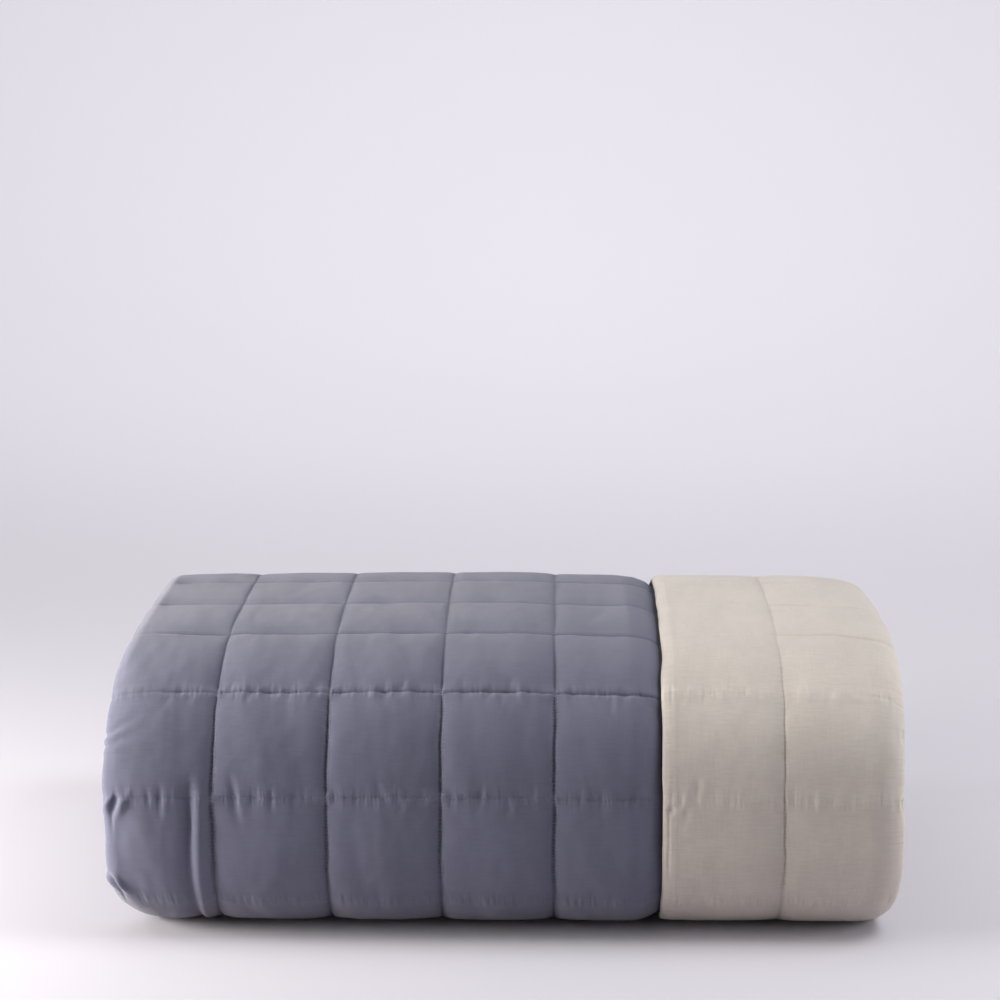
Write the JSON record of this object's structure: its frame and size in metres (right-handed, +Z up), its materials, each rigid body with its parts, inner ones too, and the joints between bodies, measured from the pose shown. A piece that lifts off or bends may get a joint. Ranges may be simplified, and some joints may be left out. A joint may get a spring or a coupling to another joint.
{
  "type": "quilt",
  "caption": "Reversible two-colour quilted bedspread, folded in a zigzag, one edge turned back to show its reverse, and rolled up flat into a soft bundle for a bed or shelf.",
  "frame": {"origin": "middle of the bundle's footprint, on the surface it rests on", "axes": "+X along the bundle toward the turned-back edge, -Y toward the bulging front of the roll, +Z up"},
  "size_m": [0.7076, 0.5048, 0.262],
  "materials": {
    "face_cloth": "matte, finely woven, grey-violet",
    "reverse_cloth": "matte, finely woven, warm beige"
  },
  "bodies": {
    "root": {"face_panel": "face_cloth", "reverse_panel": "reverse_cloth"}
  },
  "joints": []
}
